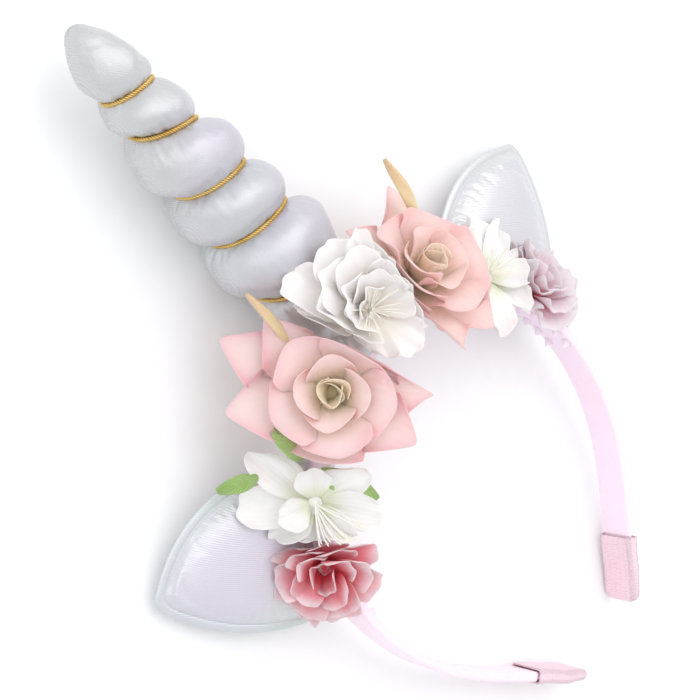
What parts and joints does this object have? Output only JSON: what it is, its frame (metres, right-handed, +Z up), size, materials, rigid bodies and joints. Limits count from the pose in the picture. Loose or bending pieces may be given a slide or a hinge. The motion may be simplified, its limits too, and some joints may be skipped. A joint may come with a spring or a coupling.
{
  "type": "unicorn horn headband",
  "caption": "Costume headband with a padded silver unicorn horn wound with gold cord, padded ears and a row of fabric flowers on a pink plastic band.",
  "frame": {"origin": "centre of the bottom of the bounding box, as the headband lies on its back", "axes": "+Y from the band's tips towards the horn's tip, +X to the wearer's right, +Z up, out of the front of the flowers"},
  "size_m": [0.1826, 0.257, 0.0532],
  "materials": {
    "pink_plastic": "glossy, slightly translucent",
    "pink_ribbon": "fine ribbed ribbon",
    "silver_cloth": "ribbed metallic cloth with a pearl sheen",
    "gold_cord": "twisted metallic thread",
    "rose_cloth": "matt satin petals, blush edges and cream hearts",
    "white_cloth": "matt petals",
    "coral_cloth": "matt petals with pale edges",
    "pale_pink_cloth": "matt petals with deep pink spots"
  },
  "bodies": {
    "root": {"band": "pink_plastic", "end_cap_left": "pink_ribbon", "end_cap_right": "pink_ribbon", "horn": "silver_cloth", "horn_cord": "gold_cord", "ear_left": "silver_cloth", "ear_right": "silver_cloth", "rose_left": "rose_cloth", "rose_right": "rose_cloth", "peony": "white_cloth", "blossom_left": "white_cloth", "blossom_right": "white_cloth", "ruffled_flower_left": "coral_cloth", "ruffled_flower_right": "pale_pink_cloth"}
  },
  "joints": []
}
